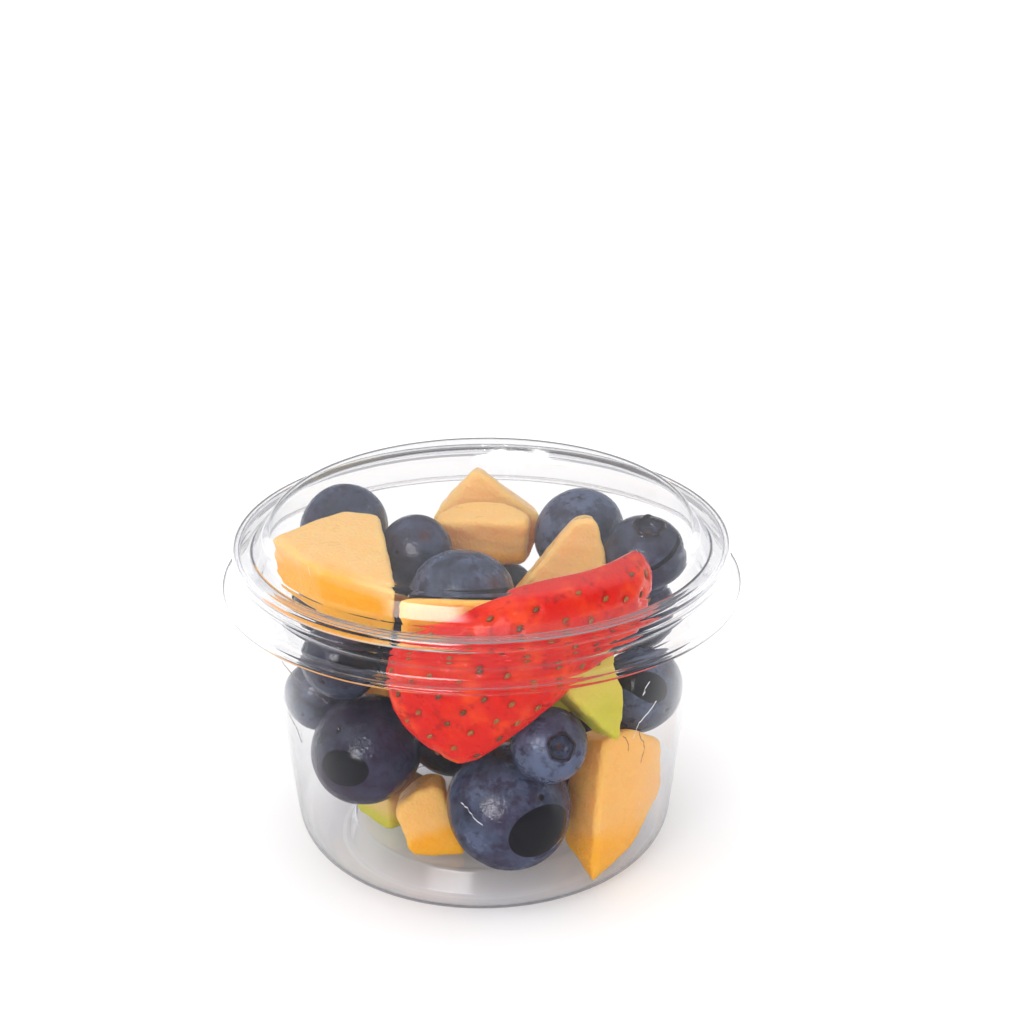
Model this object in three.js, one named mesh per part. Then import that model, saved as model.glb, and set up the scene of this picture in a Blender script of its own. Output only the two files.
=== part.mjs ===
// A fruit cup: a clear thin-walled pot with its lid.
// It is filled with blueberries, melon chunks and half a strawberry.
// Millimetres, +Z up. The origin is the middle of the ring that the pot stands on.
// The viewer looks along +Y.
import * as THREE from "three";

// The pot and the lid are drawn from thin clear sheet. All heights are of the sheet's middle.
const SHEET = 0.45;
const TURN_STEPS = 40;

// Pot.
const WALL_FOOT_RADIUS = 36.1; // the wall carried down to the table
const WALL_FLARE = 0.12; // radius gained for each millimetre of height
const FOOT_BEND = 8.3; // the large round bend from the wall to the foot
const FOOT_INNER_RADIUS = 27.4;
const PANEL_RADIUS = 26.0; // the raised middle of the base
const PANEL_HEIGHT = 5.2;
const STEP_HEIGHT = 56; // the stacking step in the wall
const STEP_OUT = 0.9;
const RIM_HEIGHT = 63.3;
const RIM_RADIUS = 46.5;

// Lid.
const LID_TOP_HEIGHT = 68.8;
const LID_TOP_RADIUS = 38.0; // the flat of the raised top
const LID_SHOULDER_BEND = 2.8;
const LID_WALL_FOOT_RADIUS = 41.9;
const LEDGE_HEIGHT = 64.2;
const BEAD_RADIUS = 47.4; // the bead that clips over the pot's rim
const BEAD_BEND = 1.4;
const SKIRT_HEIGHT = 60.4;
const FLANGE_HEIGHT = 56.0;
const FLANGE_RADIUS = 49.8;
const LIP_HEIGHT = 54.9;

const plastic = new THREE.MeshStandardMaterial({ color: 0xf2f4f6, roughness: 0.06, metalness: 0 });
const blueberrySkin = new THREE.MeshStandardMaterial({ color: 0x2b3145, roughness: 0.5, metalness: 0 });
const cantaloupeFlesh = new THREE.MeshStandardMaterial({ color: 0xf6b063, roughness: 0.45, metalness: 0 });
const honeydewFlesh = new THREE.MeshStandardMaterial({ color: 0xcfcf62, roughness: 0.4, metalness: 0 });
const strawberryFlesh = new THREE.MeshStandardMaterial({ color: 0xd92a20, roughness: 0.35, metalness: 0 });

const degrees = (angle) => (angle * Math.PI) / 180;
const { lerp } = THREE.MathUtils;

// Points along an arc, both ends included, as [radius, height].
function arc(centreRadius, centreHeight, bend, from, to, steps) {
  return Array.from({ length: steps + 1 }, (_, i) => {
    const angle = degrees(lerp(from, to, i / steps));
    return [centreRadius + bend * Math.cos(angle), centreHeight + bend * Math.sin(angle)];
  });
}

// A sheet's middle line, which starts on the axis, thickened to both sides and turned round the axis.
function turnedSheet(name, middle) {
  const points = middle.map(([r, z]) => new THREE.Vector2(r, z));
  const sides = [1, -1].map((side) =>
    points.map((point, i) => {
      const before = points[Math.max(i - 1, 0)];
      const after = points[Math.min(i + 1, points.length - 1)];
      const along = after.clone().sub(before).normalize();
      const across = new THREE.Vector2(along.y, -along.x).multiplyScalar((side * SHEET) / 2);
      return point.x === 0 ? new THREE.Vector2(0, point.y + across.y) : point.clone().add(across);
    }),
  );
  const outline = [...sides[0], ...sides[1].reverse()];
  const geometry = new THREE.LatheGeometry(outline, TURN_STEPS).rotateX(Math.PI / 2);
  const mesh = new THREE.Mesh(geometry, plastic);
  mesh.name = name;
  return mesh;
}

function pot() {
  const half = SHEET / 2;
  const wallRadius = (height) => WALL_FOOT_RADIUS + WALL_FLARE * height - half;
  const lean = THREE.MathUtils.radToDeg(Math.atan(WALL_FLARE));
  const bend = FOOT_BEND - half;
  const bendCentre = wallRadius(FOOT_BEND) - bend * Math.hypot(1, WALL_FLARE);
  const stepRadius = wallRadius(STEP_HEIGHT);
  return turnedSheet("pot", [
    [0, PANEL_HEIGHT],
    [PANEL_RADIUS - 1.0, PANEL_HEIGHT],
    [PANEL_RADIUS, PANEL_HEIGHT - 0.6],
    [FOOT_INNER_RADIUS - 0.5, 0.9],
    [FOOT_INNER_RADIUS + 0.2, half],
    [FOOT_INNER_RADIUS + 0.5, half],
    [bendCentre - 0.1, half],
    ...arc(bendCentre, FOOT_BEND, bend, -90, -lean, 6),
    [stepRadius, STEP_HEIGHT],
    [stepRadius + STEP_OUT, STEP_HEIGHT + 1.2],
    [stepRadius + STEP_OUT + 0.4, RIM_HEIGHT - 0.8],
    [stepRadius + STEP_OUT + 1.0, RIM_HEIGHT],
    [RIM_RADIUS - 0.5, RIM_HEIGHT],
    [RIM_RADIUS, RIM_HEIGHT - 0.5],
    [RIM_RADIUS, RIM_HEIGHT - 1.7],
  ]);
}

function lid() {
  const shoulderFoot = 15;
  return turnedSheet("lid", [
    [0, LID_TOP_HEIGHT],
    ...arc(LID_TOP_RADIUS, LID_TOP_HEIGHT - LID_SHOULDER_BEND, LID_SHOULDER_BEND, 90, shoulderFoot, 4),
    [LID_WALL_FOOT_RADIUS - 0.2, LEDGE_HEIGHT + 0.9],
    [LID_WALL_FOOT_RADIUS + 0.6, LEDGE_HEIGHT],
    ...arc(BEAD_RADIUS - BEAD_BEND, LEDGE_HEIGHT - BEAD_BEND, BEAD_BEND, 90, 0, 3),
    [BEAD_RADIUS, SKIRT_HEIGHT + 0.9],
    [BEAD_RADIUS - 0.4, SKIRT_HEIGHT],
    [BEAD_RADIUS - 0.1, FLANGE_HEIGHT + 2.0],
    [BEAD_RADIUS + 0.6, FLANGE_HEIGHT + 0.6],
    [FLANGE_RADIUS - 0.6, FLANGE_HEIGHT],
    [FLANGE_RADIUS, FLANGE_HEIGHT - 0.5],
    [FLANGE_RADIUS, LIP_HEIGHT],
  ]);
}

// Blueberry, of radius 1. The crown is a shallow crater with a five-pointed edge.
// It is at the +Z end of the berry's axis.
const BERRY_STEPS = 15;
const BERRY_FLATNESS = 0.9; // height along the crown's axis against width
const BERRY_RINGS = [52, 84, 116, 148]; // degrees from the crown
const CROWN_LOBES = 5;
const CROWN_RADIUS = 0.34;
const CROWN_DEPTH = 0.16;
const CROWN_LIP = 0.07;

function blueberry() {
  const skin = (angle) => [Math.sin(angle), BERRY_FLATNESS * Math.cos(angle)];
  const [, shoulder] = skin(Math.asin(CROWN_RADIUS));
  const profile = [
    [0, -BERRY_FLATNESS],
    ...BERRY_RINGS.toReversed().map((angle) => skin(degrees(angle))),
    skin(Math.asin(CROWN_RADIUS * 1.3)),
    [CROWN_RADIUS, shoulder + CROWN_LIP],
    [0, shoulder - CROWN_DEPTH],
  ].map(([r, z]) => new THREE.Vector2(r, z));
  const geometry = new THREE.LatheGeometry(profile, BERRY_STEPS).rotateX(Math.PI / 2);
  const position = geometry.getAttribute("position");
  for (let i = 0; i < position.count; i++) {
    const [x, y, z] = [position.getX(i), position.getY(i), position.getZ(i)];
    if (z < 0 || Math.abs(Math.hypot(x, y) - CROWN_RADIUS) > 0.01) continue;
    position.setZ(i, z + 0.5 * CROWN_LIP * Math.cos(CROWN_LOBES * Math.atan2(y, x)));
  }
  return geometry;
}

// An outline of [x, z] corners seen from the front, counterclockwise.
// Each corner is rounded by a quarter curve that starts the given length away from it.
// The side from the corner numbered rind to the next bows outwards by bow.
function roundedOutline(corners, rounding, rind = 0, bow = 0) {
  const points = corners.map(([x, z]) => new THREE.Vector2(x, z));
  const shape = new THREE.Shape();
  const ends = points.map((corner, i) =>
    [points.at(i - 1), points[(i + 1) % points.length]].map((next) =>
      corner.clone().add(next.clone().sub(corner).setLength(rounding)),
    ),
  );
  shape.moveTo(...ends[0][0]);
  points.forEach((corner, i) => {
    const [into, outOf] = ends[i];
    if (i === rind + 1 && bow > 0) {
      const side = corner.clone().sub(points[rind]);
      const crest = corner.clone().lerp(points[rind], 0.5);
      crest.add(new THREE.Vector2(side.y, -side.x).setLength(2 * bow));
      shape.quadraticCurveTo(...crest, ...into);
    } else shape.lineTo(...into);
    shape.quadraticCurveTo(...corner, ...outOf);
  });
  shape.closePath();
  return shape;
}

// A closed solid over an outline. A profile entry is a ring: [share of the way out from the middle, depth].
// The rings go from the middle of the back to the middle of the front, which looks along -Y.
function outlineSolid(edge, profile) {
  const sum = edge.reduce((total, point) => total.add(point), new THREE.Vector2());
  const middle = sum.divideScalar(edge.length);
  const base = profile.map(([out, depth]) => new THREE.Vector2(out, depth));
  const geometry = new THREE.LatheGeometry(base, edge.length);
  const position = geometry.getAttribute("position");
  for (let i = 0; i < position.count; i++) {
    const [out, depth] = profile[i % profile.length];
    const spoke = Math.floor(i / profile.length) % edge.length;
    const point = middle.clone().lerp(edge[spoke], out);
    position.setXYZ(i, point.x, -depth, point.y);
  }
  return geometry;
}

// Melon chunk: a cut face at the front, its depth to the back, and the share of size that the back keeps.
const CHUNK_CORNER = 1.8;
const CHUNK_EDGE = 0.8;
const CHUNK_EDGE_SHARE = 0.9;

function melonChunk({ face, depth, rind, bow, taper = 0.92 }) {
  const edge = roundedOutline(face, CHUNK_CORNER, rind, bow).getPoints(2);
  edge.pop();
  const half = depth / 2;
  return outlineSolid(edge, [
    [0, -half],
    [taper * CHUNK_EDGE_SHARE, -half],
    [taper, CHUNK_EDGE - half],
    [1, half - CHUNK_EDGE],
    [CHUNK_EDGE_SHARE, half],
    [0, half],
  ]);
}

// Half a strawberry, cut lengthways.
// Its seeded skin leans on the pot's near wall, and its flat cut face looks inwards.
// The outline is [way round the wall, height], from the pointed end at the bottom.
const STRAWBERRY_OUTLINE = [
  [-4.5, 30.8],
  [20, 50.5],
  [36.5, 56.5],
  [36.5, 67.3],
  [6, 68],
  [-18, 54.5],
  [-17, 41],
];
const STRAWBERRY_CORNER = 4.8;
const STRAWBERRY_BACK_RADIUS = 31.8; // from the pot's axis to the cut face
const STRAWBERRY_DEPTH = 7.6;
const STRAWBERRY_FULLNESS = 0.4; // under 0.5 the skin stays high nearly to the edge
const STRAWBERRY_SPOKES = 36;
const STRAWBERRY_RINGS = 9;
const SEED_PIT = 0.4;

function strawberryHalf() {
  const edge = roundedOutline(STRAWBERRY_OUTLINE, STRAWBERRY_CORNER).getSpacedPoints(STRAWBERRY_SPOKES);
  edge.pop();
  const profile = [
    [0, 0],
    [0.97, 0],
  ];
  for (let ring = STRAWBERRY_RINGS; ring >= 0; ring--) {
    const out = Math.sin(((Math.PI / 2) * ring) / STRAWBERRY_RINGS);
    profile.push([out, 0.6 + STRAWBERRY_DEPTH * (1 - out * out) ** STRAWBERRY_FULLNESS]);
  }
  const geometry = outlineSolid(edge, profile);
  const position = geometry.getAttribute("position");
  for (let i = 0; i < position.count; i++) {
    const ring = i % profile.length;
    const spoke = Math.floor(i / profile.length);
    const pitted = ring > 3 && ring < profile.length - 2 && (ring + 2 * spoke) % 4 === 0;
    const angle = position.getX(i) / STRAWBERRY_BACK_RADIUS;
    const out = STRAWBERRY_BACK_RADIUS - position.getY(i) - (pitted ? SEED_PIT : 0);
    position.setX(i, out * Math.sin(angle));
    position.setY(i, -out * Math.cos(angle));
  }
  return geometry;
}

// Each berry by its middle, its radius and the way its crown looks.
const BLUEBERRIES = {
  blueberry_top_left: { at: [-27.2, 16.5, 58.4], radius: 9.1, crown: [-0.4, 0.8, 0.3] },
  blueberry_top_middle: { at: [-12.6, 1.0, 59.7], radius: 7.4, crown: [0.5, 0.7, -0.3] },
  blueberry_top_front: { at: [-3.9, -14.3, 57.2], radius: 10.0, crown: [0.12, -0.33, -0.93] },
  blueberry_top_back: { at: [19.5, 14.5, 57.4], radius: 9.4, crown: [-0.45, 0.85, 0.3] },
  blueberry_top_right: { at: [31.3, -1.4, 59.8], radius: 8.1, crown: [0.08, -0.28, 0.95] },
  blueberry_side_left: { at: [-32.2, -2.3, 31.2], radius: 7.2, crown: [0.4, 0.8, 0.2] },
  blueberry_side_left_high: { at: [-26.6, -17.3, 46.2], radius: 7.7, crown: [0.4, 0.8, 0.2] },
  blueberry_side_right: { at: [30.1, -7.5, 34.4], radius: 8.8, crown: [-0.6, 0.7, 0.2] },
  blueberry_front_left: { at: [-22.4, -16.8, 27.0], radius: 10.9, crown: [0.5, 0.5, -0.7] },
  blueberry_front_middle: { at: [-6.3, -1.0, 22.5], radius: 10.0, crown: [0.5, 0.5, 0.7] },
  blueberry_front_low: { at: [4.6, -25.1, 18.7], radius: 12.3, crown: [-0.5, 0.6, -0.5] },
  blueberry_front_small: { at: [12.0, -30.0, 34.5], radius: 7.3, crown: [0.33, -0.87, 0.37] },
  blueberry_low_middle: { at: [6.0, 0.0, 11.9], radius: 6.0, crown: [0.2, 0.6, -0.7] },
  blueberry_low_right: { at: [21, 3.2, 15.6], radius: 9.4, crown: [0.9, 0.2, 0.3] },
  blueberry_low_back: { at: [-15, 20, 14.8], radius: 8.9, crown: [-0.3, 0.9, 0.2] },
  blueberry_middle: { at: [5.5, 10.0, 31.0], radius: 6.5, crown: [0.6, -0.2, 0.7] },
  blueberry_middle_left: { at: [-13, -9, 43.3], radius: 8.2, crown: [-0.5, -0.6, 0.5] },
  blueberry_middle_high: { at: [0.3, 8.0, 45.4], radius: 6.2, crown: [0.1, 0.2, 0.9] },
  blueberry_back: { at: [3, 27.2, 37], radius: 9.3, crown: [0.5, 0.8, 0.1] },
  blueberry_back_left: { at: [-17, 25, 32.6], radius: 8.9, crown: [-0.8, 0.5, 0.2] },
  blueberry_left: { at: [-30.5, 7.4, 46], radius: 7.3, crown: [-0.9, 0.3, -0.2] },
  blueberry_right: { at: [30.5, 5.2, 45.1], radius: 7.9, crown: [0.8, 0.5, -0.3] },
};

// Each chunk by its cut face, depth and middle. It is leant about X and then turned about Z, in degrees.
const CANTALOUPES = {
  cantaloupe_top_left: {
    face: [[-12, 4.5], [13, -15], [9, 13], [2, 15]],
    depth: 12, rind: 0, bow: 3.5, at: [-28.3, -10.5, 60.5], lean: -83,
  },
  cantaloupe_top_back: {
    face: [[-7, -10], [8, -10], [12, -1], [-2, 10], [-11, 0]],
    depth: 12, at: [1, 26, 57.5], lean: -12,
  },
  cantaloupe_top_right: {
    face: [[-13, -8], [4.5, -10], [7, 0], [5, 9.5], [1, 9]],
    depth: 9, at: [17.0, -1.5, 58.6], lean: -12,
  },
  cantaloupe_top_middle: {
    face: [[-10, -5.5], [8.5, -6.5], [9.2, -1], [3.5, 5.2], [-4.5, 5.2], [-9.5, 0.5]],
    depth: 10, at: [0.8, 13.3, 58.3], lean: -89,
  },
  cantaloupe_top_front: {
    face: [[-10, -6], [12, -6], [12, 6], [-11, 6]],
    depth: 3.6, at: [-4.5, -26.4, 57.2], turn: -2,
  },
  cantaloupe_low_left: {
    face: [[-4.5, -6.5], [6.5, -6.5], [4.2, -1], [2, 8.8], [-2, 8.8], [-8, 4]],
    depth: 8, at: [-9.7, -17.7, 12.1],
  },
  cantaloupe_low_right: {
    face: [[-8.6, -17.6], [3, -12.7], [10.3, -3], [10, 8], [2, 12.8], [-6, 13], [-8, -4]],
    depth: 11, taper: 0.75, at: [23.3, -17.3, 19.2], turn: 42,
  },
  cantaloupe_low_back: {
    face: [[-10, -7], [9, -7], [10, 6], [-8, 7]],
    depth: 13, at: [4, 17, 13.2],
  },
  cantaloupe_middle_left: {
    face: [[-6, -6.5], [7, -6.5], [6, 6], [-5.5, 6.5]],
    depth: 11, at: [-22.5, 9.8, 27.4],
  },
  cantaloupe_middle_front: {
    face: [[-8.5, -4.5], [8.5, -4.5], [8.5, 4.5], [-7.5, 4.5]],
    depth: 12, at: [3.5, -15.5, 41.3],
  },
  cantaloupe_left: {
    face: [[-7.5, -7.5], [7.5, -7.5], [6.5, 7], [-7.5, 7.5]],
    depth: 12, at: [-14.3, 10, 43.5],
  },
  cantaloupe_right: {
    face: [[-6, -9.5], [6, -9.5], [6, 9.5], [-5, 9]],
    depth: 12, at: [19, 17, 37],
  },
};

const HONEYDEWS = {
  honeydew_low_left: {
    face: [[-6, -3.9], [5.5, -3.9], [5, 3.9], [-5, 3.9]],
    depth: 12, at: [-17.4, -4.3, 9.6], turn: -50,
  },
  honeydew_front: {
    face: [[-8.4, 2.8], [2, -11], [5.4, -1], [3.6, 3], [5.5, 9], [-1, 7.5]],
    depth: 8, at: [19.8, -23.5, 42.2], lean: -18, turn: 35,
  },
  honeydew_middle_right: {
    face: [[-6, -9], [6, -9], [6, 9], [-5, 9]],
    depth: 10, at: [15.5, -3.7, 38.5],
  },
  honeydew_back: {
    face: [[-5, -5.5], [5, -5.5], [5, 6], [-4, 5]],
    depth: 10, at: [-15.5, 28.5, 47.5],
  },
};

function laid(name, geometry, material, { at, lean = 0, turn = 0 }) {
  const mesh = new THREE.Mesh(geometry, material);
  mesh.name = name;
  mesh.rotation.set(degrees(lean), 0, degrees(turn), "ZXY");
  mesh.position.set(...at);
  return mesh;
}

const fruit = [laid("strawberry_half", strawberryHalf(), strawberryFlesh, { at: [0, 0, 0] })];
for (const [name, { at, radius, crown }] of Object.entries(BLUEBERRIES)) {
  const berry = laid(name, blueberry().scale(radius, radius, radius), blueberrySkin, { at });
  berry.quaternion.setFromUnitVectors(new THREE.Vector3(0, 0, 1), new THREE.Vector3(...crown).normalize());
  fruit.push(berry);
}
for (const [name, chunk] of Object.entries(CANTALOUPES))
  fruit.push(laid(name, melonChunk(chunk), cantaloupeFlesh, chunk));
for (const [name, chunk] of Object.entries(HONEYDEWS))
  fruit.push(laid(name, melonChunk(chunk), honeydewFlesh, chunk));

const fruitCup = new THREE.Group();
fruitCup.add(pot(), lid(), ...fruit);
export default fruitCup;
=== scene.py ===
"""A fruit cup in a clear thin-walled pot with its lid, in metres. The viewer looks along +Y."""
import math
import random

import bmesh
import bpy
from mathutils import Matrix, Vector, noise
from mathutils.bvhtree import BVHTree
from mathutils.kdtree import KDTree


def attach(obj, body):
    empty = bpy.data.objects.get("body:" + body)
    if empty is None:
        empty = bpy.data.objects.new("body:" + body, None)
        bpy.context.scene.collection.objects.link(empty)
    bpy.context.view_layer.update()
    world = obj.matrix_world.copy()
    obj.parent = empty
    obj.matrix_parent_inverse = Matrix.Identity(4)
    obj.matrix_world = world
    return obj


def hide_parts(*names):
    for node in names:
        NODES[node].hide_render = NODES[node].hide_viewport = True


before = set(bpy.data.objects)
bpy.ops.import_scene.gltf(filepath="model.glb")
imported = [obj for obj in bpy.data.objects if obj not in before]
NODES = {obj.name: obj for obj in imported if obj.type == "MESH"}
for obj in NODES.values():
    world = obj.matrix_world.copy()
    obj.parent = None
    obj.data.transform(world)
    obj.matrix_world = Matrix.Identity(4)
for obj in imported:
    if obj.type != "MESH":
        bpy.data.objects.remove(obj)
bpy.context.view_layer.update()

MM = 0.001
WELD = 1e-6

# The pot's and the lid's sheet, in millimetres, as the solids have it. Heights are of the sheet's middle.
SHEET = 0.45
TURN_STEPS = 160
WALL_FOOT_RADIUS = 36.1
WALL_FLARE = 0.12
FOOT_BEND = 8.3
FOOT_INNER_RADIUS = 27.4
PANEL_RADIUS = 26.0
PANEL_HEIGHT = 5.2
STEP_HEIGHT = 56.0
STEP_OUT = 0.9
RIM_HEIGHT = 63.3
RIM_RADIUS = 46.5
LID_TOP_HEIGHT = 68.8
LID_TOP_RADIUS = 38.0
LID_SHOULDER_BEND = 2.8
LID_WALL_FOOT_RADIUS = 41.9
LEDGE_HEIGHT = 64.2
BEAD_RADIUS = 47.4
BEAD_BEND = 1.4
SKIRT_HEIGHT = 60.4
FLANGE_HEIGHT = 56.0
FLANGE_RADIUS = 49.8
LIP_HEIGHT = 54.9


def finished(name, mesh, materials, slot, *stands_for):
    """A mesh in place becomes a smooth piece of the cup, standing for its solids."""
    for material in materials:
        mesh.materials.append(material)
    mesh.shade_smooth()
    piece = bpy.data.objects.new(name, mesh)
    bpy.context.scene.collection.objects.link(piece)
    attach(piece, "root")
    if stands_for:
        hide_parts(*stands_for)


def mesh_from(shape, name):
    """A bmesh is written out as a mesh and freed."""
    mesh = bpy.data.meshes.new(name)
    shape.to_mesh(mesh)
    shape.free()
    return mesh


def worked(mesh, **modifiers):
    """The mesh with modifiers worked in. Each is a type with its settings."""
    holder = bpy.data.objects.new("holder", mesh)
    bpy.context.scene.collection.objects.link(holder)
    for kind, settings in modifiers.items():
        modifier = holder.modifiers.new(kind, kind)
        for key, value in settings.items():
            setattr(modifier, key, value)
    seen = holder.evaluated_get(bpy.context.evaluated_depsgraph_get())
    made = bpy.data.meshes.new_from_object(seen)
    bpy.data.objects.remove(holder)
    return made


def spun_line(shape, points):
    """Points joined from end to end in the plane that is spun, each as (radius, height)."""
    line = [shape.verts.new((radius, 0, height)) for radius, height in points]
    for start, end in zip(line, line[1:]):
        shape.edges.new((start, end))
    return line


def spin(shape, steps, weld):
    """All of a shape's line is spun about the cup's axis, welded and turned right side out."""
    bmesh.ops.spin(
        shape, geom=shape.verts[:] + shape.edges[:], cent=(0, 0, 0), axis=(0, 0, 1), angle=2 * math.pi,
        steps=steps, use_merge=True,
    )
    bmesh.ops.remove_doubles(shape, verts=shape.verts, dist=weld)
    bmesh.ops.recalc_face_normals(shape, faces=shape.faces)


def softened(solid_name, voxel, rounds):
    """A solid's own form as a fine even shape with soft edges."""
    shape = bmesh.new()
    shape.from_mesh(NODES[solid_name].data)
    bmesh.ops.remove_doubles(shape, verts=shape.verts, dist=WELD)
    mesh = worked(mesh_from(shape, solid_name), REMESH={"mode": "VOXEL", "voxel_size": voxel})
    shape = bmesh.new()
    shape.from_mesh(mesh)
    for _ in range(rounds):
        bmesh.ops.smooth_vert(
            shape, verts=shape.verts, factor=0.5, use_axis_x=True, use_axis_y=True, use_axis_z=True
        )
    shape.normal_update()
    return shape


def moved(shape, moves):
    """Each point is moved by its own step, and the shape is closed into a mesh."""
    for vertex, move in zip(shape.verts, moves):
        vertex.co += move
    return mesh_from(shape, "flesh")


def give(mesh, name, values):
    """A number for each point, for materials to read."""
    attribute = mesh.attributes.new(name, "FLOAT", "POINT")
    attribute.data.foreach_set("value", values)


# Shader building.
def node(tree, kind, inputs=None, **settings):
    """A shader node with its settings, whose inputs are values or other nodes' outputs."""
    made = tree.nodes.new(kind if kind.startswith("NodeGroup") else "ShaderNode" + kind)
    for key, value in settings.items():
        setattr(made, key, value)
    for key, value in (inputs or {}).items():
        if isinstance(value, bpy.types.NodeSocket):
            tree.links.new(value, made.inputs[key])
        else:
            made.inputs[key].default_value = value
    return made


def grouped(tree, group, **inputs):
    """A group placed in a material, with its own values."""
    made = tree.nodes.new("ShaderNodeGroup")
    made.node_tree = group
    for key, value in inputs.items():
        socket = made.inputs[key.replace("_", " ")]
        if isinstance(value, bpy.types.NodeSocket):
            tree.links.new(value, socket)
        else:
            socket.default_value = value
    return made.outputs


def new_group(name, inputs, outputs):
    """An empty shader group: inputs as {name: (kind, value)}, outputs as {name: kind}."""
    tree = bpy.data.node_groups.new(name, "ShaderNodeTree")
    for label, (kind, value) in inputs.items():
        socket = tree.interface.new_socket(label, in_out="INPUT", socket_type="NodeSocket" + kind)
        if value is not None:
            socket.default_value = value
    for label, kind in outputs.items():
        tree.interface.new_socket(label, in_out="OUTPUT", socket_type="NodeSocket" + kind)
    return tree, tree.nodes.new("NodeGroupInput").outputs, tree.nodes.new("NodeGroupOutput").inputs


def new_material(name):
    """A material with an empty tree and its output's surface socket."""
    made = bpy.data.materials.new(name)
    made.use_nodes = True
    tree = made.node_tree
    tree.nodes.clear()
    return made, tree, tree.nodes.new("ShaderNodeOutputMaterial").inputs["Surface"]


def patches_group():
    """Soft uneven patches: 0 below the level, 1 above it, with a soft edge."""
    tree, given, out = new_group(
        "soft_patches",
        {
            "Place": ("Vector", None), "Scale": ("Float", 100.0),
            "Level": ("Float", 0.5), "Softness": ("Float", 0.1),
        },
        {"Mask": "Float"},
    )
    cloud = node(tree, "TexNoise", {
        "Vector": given["Place"], "Scale": given["Scale"], "Detail": 5.0, "Roughness": 0.6,
    })
    low = node(tree, "Math", {0: given["Level"], 1: given["Softness"]}, operation="SUBTRACT")
    high = node(tree, "Math", {0: given["Level"], 1: given["Softness"]}, operation="ADD")
    mask = node(
        tree, "MapRange",
        {"Value": cloud.outputs["Fac"], "From Min": low.outputs[0], "From Max": high.outputs[0]},
        interpolation_type="SMOOTHSTEP",
    )
    tree.links.new(mask.outputs["Result"], out["Mask"])
    return tree


def ramp_group():
    """A smooth step of a value from one level to another."""
    tree, given, out = new_group(
        "smooth_step",
        {"Value": ("Float", 0.0), "From": ("Float", 0.0), "To": ("Float", 1.0)},
        {"Mask": "Float"},
    )
    mask = node(
        tree, "MapRange", {"Value": given["Value"], "From Min": given["From"], "From Max": given["To"]},
        interpolation_type="SMOOTHSTEP",
    )
    tree.links.new(mask.outputs["Result"], out["Mask"])
    return tree


PATCHES = patches_group()
STEP = ramp_group()


def mixed(tree, share, first, second):
    """The first colour turned into the second by a share."""
    blend = node(tree, "Mix", {0: share, 6: first, 7: second}, data_type="RGBA")
    return blend.outputs[2]


def scaled(tree, value, by, plus=0.0):
    """A value times a number, plus another."""
    return node(tree, "Math", {0: value, 1: by, 2: plus}, operation="MULTIPLY_ADD").outputs[0]


def times(tree, first, second):
    """One value times another."""
    return node(tree, "Math", {0: first, 1: second}, operation="MULTIPLY").outputs[0]


def mirrored(tree):
    """1 for light that comes to the eye off a shiny surface, else 0."""
    light = node(tree, "LightPath").outputs
    rays = {0: light["Is Reflection Ray"], 1: light["Is Diffuse Ray"]}
    return node(tree, "Math", rays, operation="SUBTRACT").outputs[0]


# Clear plastic.
def clear_plastic(name, wave):
    """Thin clear sheet with faint flow waves. Lamps and bounced light pass straight through."""
    made, tree, surface = new_material(name)
    place = node(tree, "TexCoord").outputs["Object"]
    flow = node(tree, "TexNoise", {"Vector": place, "Scale": 70.0, "Detail": 2.0, "Roughness": 0.4})
    scuffs = grouped(tree, PATCHES, Place=place, Scale=900.0, Level=0.62, Softness=0.05)["Mask"]
    dent = node(tree, "Bump", {"Height": flow.outputs["Fac"], "Strength": wave, "Distance": 0.004})
    sheet = node(tree, "BsdfPrincipled", {
        "Base Color": (0.985, 0.985, 0.99, 1), "Roughness": scaled(tree, scuffs, 0.05, 0.01),
        "IOR": 1.36, "Transmission Weight": 1.0, "Normal": dent.outputs["Normal"],
    })
    light = node(tree, "LightPath").outputs
    passing = node(tree, "Math", {0: light["Is Shadow Ray"], 1: light["Is Diffuse Ray"]}, operation="MAXIMUM")
    passing = node(tree, "Math", {0: passing.outputs[0], 1: light["Is Reflection Ray"]}, operation="MAXIMUM")
    through = node(tree, "BsdfTransparent", {"Color": (0.95, 0.95, 0.96, 1)})
    blend = node(tree, "MixShader", {0: passing.outputs[0], 1: sheet.outputs[0], 2: through.outputs[0]})
    tree.links.new(blend.outputs[0], surface)
    return made


def arc(centre_radius, centre_height, bend, start, end, steps):
    """Points along an arc as (radius, height, rounding), both ends included."""
    points = []
    for step in range(steps + 1):
        angle = math.radians(start + (end - start) * step / steps)
        points.append((centre_radius + bend * math.cos(angle), centre_height + bend * math.sin(angle), 0))
    return points


def braced(corners):
    """Long straight runs get a point near each end, so that only their ends share a neighbour's slope."""
    line = corners[:1]
    for start, end in zip(corners, corners[1:]):
        length = math.dist(start[:2], end[:2])
        if length > 6:
            for share in ((start[2] + 0.8) / length, 1 - (end[2] + 0.8) / length):
                line.append((*(a + (b - a) * share for a, b in zip(start[:2], end[:2])), 0))
        line.append(end)
    return line


def turned_sheet(name, corners, material):
    """A sheet's middle line, from the axis out, is rounded at its corners, turned and given its thickness."""
    corners = braced(corners)
    shape = bmesh.new()
    line = spun_line(shape, [(radius * MM, height * MM) for radius, height, _ in corners])
    for corner, (_, _, rounding) in zip(line, corners):
        if rounding:
            bmesh.ops.bevel(
                shape, geom=[corner], offset=rounding * MM, segments=4, profile=0.5,
                affect="VERTICES", material=-1,
            )
    spin(shape, TURN_STEPS, WELD)
    wall = {"thickness": SHEET * MM, "offset": 0, "use_even_offset": True}
    mesh = worked(mesh_from(shape, name), SOLIDIFY=wall)
    finished("clear_" + name, mesh, [material], "clear_plastic", name)


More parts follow.
